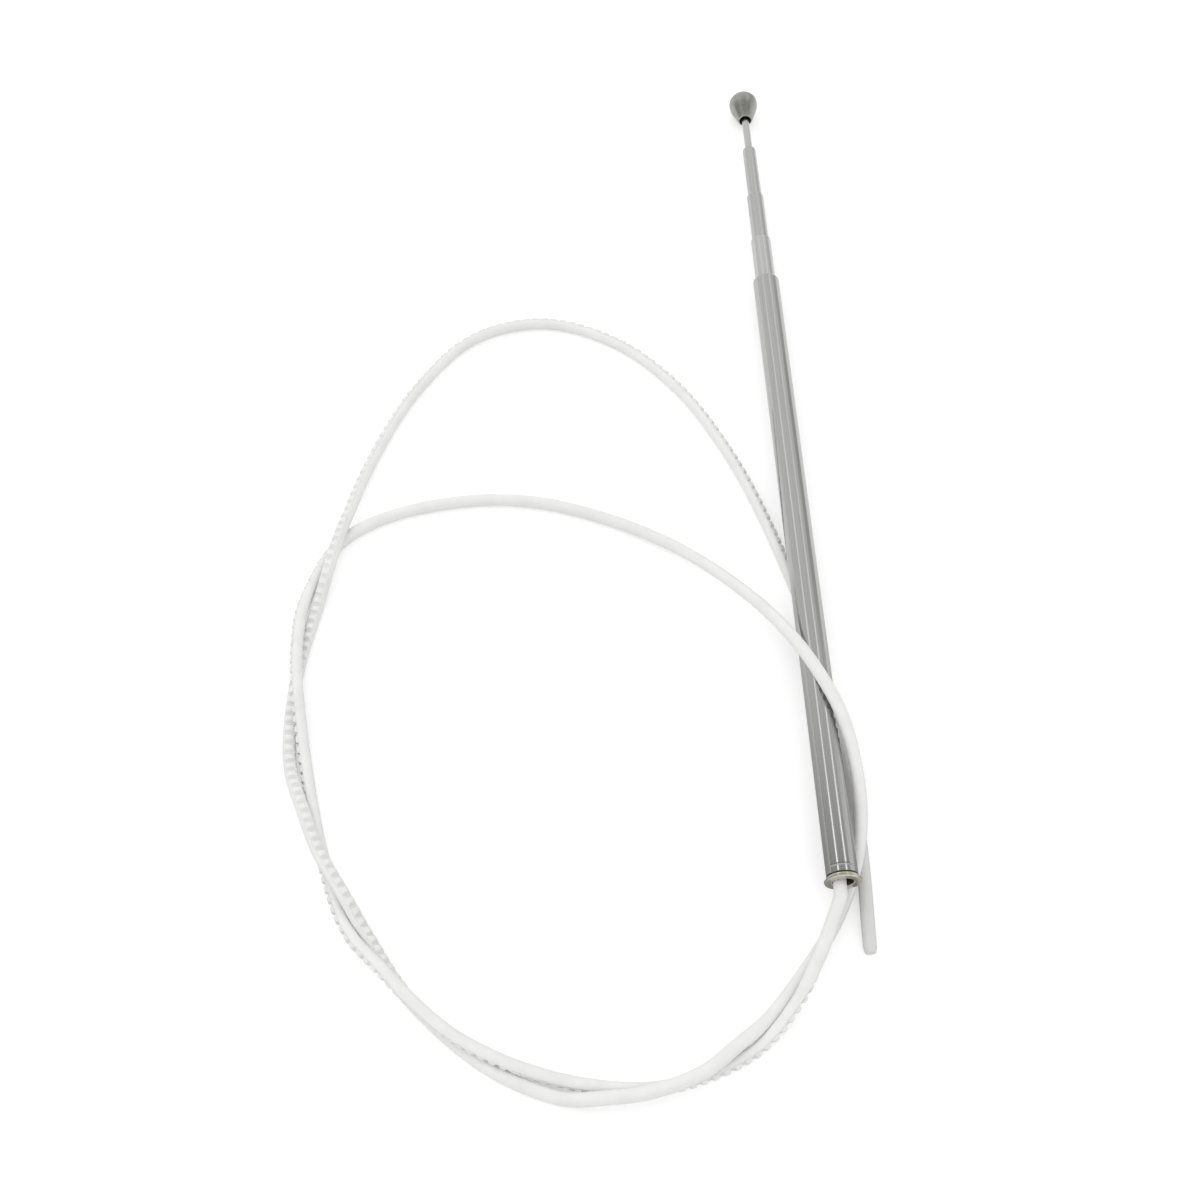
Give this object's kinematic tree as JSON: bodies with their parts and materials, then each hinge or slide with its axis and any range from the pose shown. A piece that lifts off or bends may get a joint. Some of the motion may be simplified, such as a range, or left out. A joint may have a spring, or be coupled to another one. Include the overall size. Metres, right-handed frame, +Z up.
{
  "type": "car mast aerial",
  "caption": "Telescopic steel car aerial mast, collapsed, with a bell-shaped knob on its tip and a long toothed nylon drive cord looped loosely from its foot.",
  "frame": {"origin": "on the surface it lies on, under the middle of the mast", "axes": "+Y along the mast towards the knob, +Z up; the mast's axis falls 0.85 degrees towards the knob, which touches the surface"},
  "size_m": [0.1495, 0.3293, 0.0155],
  "materials": {
    "mast_steel": "drawn stainless steel, satin with fine lengthwise streaks",
    "rod_steel": "drawn stainless steel rod, satin",
    "foot_nickel": "nickel-plated brass, turned, bright",
    "knob_nickel": "nickel-plated brass, satin",
    "contact_bronze": "spring bronze",
    "guide_nylon": "natural nylon",
    "cord_nylon": "natural white nylon, slightly translucent, moulded teeth on one side"
  },
  "bodies": {
    "mast_base": {"base_tube": "mast_steel", "foot_ferrule": "foot_nickel", "foot_collar": "foot_nickel", "drive_cord": "cord_nylon"},
    "stage_3": {"stage_3_tube": "mast_steel", "stage_3_bush": "guide_nylon", "stage_3_contact": "contact_bronze"},
    "stage_2": {"stage_2_tube": "mast_steel", "stage_2_bush": "guide_nylon", "stage_2_contact": "contact_bronze"},
    "stage_1": {"stage_1_tube": "mast_steel", "stage_1_bush": "guide_nylon", "stage_1_contact": "contact_bronze"},
    "tip": {"tip_rod": "rod_steel", "rod_bush": "guide_nylon", "rod_contact": "contact_bronze", "cord_coupling": "contact_bronze", "tip_knob": "knob_nickel"}
  },
  "joints": [
    {"name": "stage_3_slide", "type": "slide", "parent": "mast_base", "child": "stage_3", "axis": [0, 0.9999, -0.0148], "range_m": [0, 0.172]},
    {"name": "stage_2_slide", "type": "slide", "parent": "stage_3", "child": "stage_2", "axis": [0, 0.9999, -0.0148], "range_m": [0, 0.186]},
    {"name": "stage_1_slide", "type": "slide", "parent": "stage_2", "child": "stage_1", "axis": [0, 0.9999, -0.0148], "range_m": [0, 0.202]},
    {"name": "tip_slide", "type": "slide", "parent": "stage_1", "child": "tip", "axis": [0, 0.9999, -0.0148], "range_m": [0, 0.217]}
  ]
}
